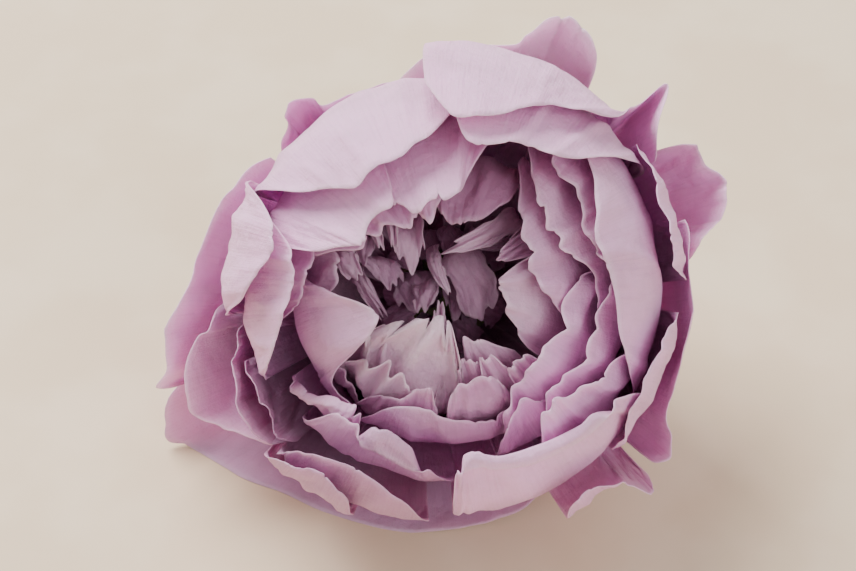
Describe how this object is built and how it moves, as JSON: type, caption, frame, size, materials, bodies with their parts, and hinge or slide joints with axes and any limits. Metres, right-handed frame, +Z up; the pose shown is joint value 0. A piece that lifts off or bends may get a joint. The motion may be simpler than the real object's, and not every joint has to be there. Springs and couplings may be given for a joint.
{
  "type": "peony bloom",
  "caption": "Cut head of a full double peony, its cupped lilac petals closing over a ruffled heart, lying tipped back on its lowest petal with a short cut stem behind.",
  "frame": {"origin": "on the surface the bloom lies on, under the middle of the bloom's box", "axes": "+Z up; -Y the side the open bloom looks towards, 45 degrees upwards; +X to the right when looking into the bloom"},
  "size_m": [0.09, 0.075, 0.0762],
  "materials": {
    "petal": "matte, thin and softly translucent",
    "guard_petal": "matte, thin and softly translucent",
    "heart_petal": "matte, crinkled",
    "sepal": "matte, leathery",
    "stem": "matte"
  },
  "bodies": {
    "root": {"boat_petal_front": "petal", "broad_petal_low_right": "petal", "cape_petal_top_left": "petal", "cloak_petal_left": "petal", "collar_petal_top_left": "petal", "crumpled_petal_low_right": "petal", "crumpled_petal_right": "petal", "dark_petal_low_left": "petal", "edge_petal_front_left": "guard_petal", "edge_petal_left": "guard_petal", "frilled_petal_right": "petal", "guard_petal_front": "guard_petal", "guard_petal_front_right": "guard_petal", "guard_petal_left": "guard_petal", "guard_petal_right": "guard_petal", "guard_petal_top": "guard_petal", "hanging_petal_left": "petal", "heart_petal_broad": "heart_petal", "heart_petal_channel": "heart_petal", "heart_petal_crumpled_front": "heart_petal", "heart_petal_curled_low_right": "heart_petal", "heart_petal_flap_left": "heart_petal", "heart_petal_frilled_low_left": "heart_petal", "heart_petal_lobe_left": "heart_petal", "heart_petal_lobe_middle": "heart_petal", "heart_petal_low_front": "heart_petal", "heart_petal_narrow": "heart_petal", "heart_petal_narrow_low_right": "heart_petal", "heart_petal_notched_top_right": "heart_petal", "heart_petal_rounded_front": "heart_petal", "heart_petal_scroll_front": "heart_petal", "heart_petal_shaded_left": "heart_petal", "heart_petal_shaded_top": "heart_petal", "heart_petal_small_right": "heart_petal", "heart_petal_spoon_right": "heart_petal", "heart_petal_strap": "heart_petal", "hooded_petal_top": "petal", "horned_petal_top_right": "petal", "inner_petal_front": "petal", "inner_petal_left": "petal", "inner_petal_right": "petal", "inner_petal_top": "petal", "lipped_petal_front_left": "petal", "long_petal_right": "petal", "low_petal_front_left": "petal", "low_petal_front_right": "petal", "low_petal_left": "petal", "pocket_petal_low_left": "petal", "receptacle_and_stem": "stem", "saddle_petal_top_right": "petal", "sepal_1": "sepal", "sepal_2": "sepal", "sepal_3": "sepal", "sepal_4": "sepal", "shaded_petal_left": "petal", "smooth_petal_right": "petal", "strip_petal_low_right": "petal", "strip_petal_right": "petal", "tongue_petal_top_left": "petal", "wavy_petal_right": "petal"}
  },
  "joints": []
}
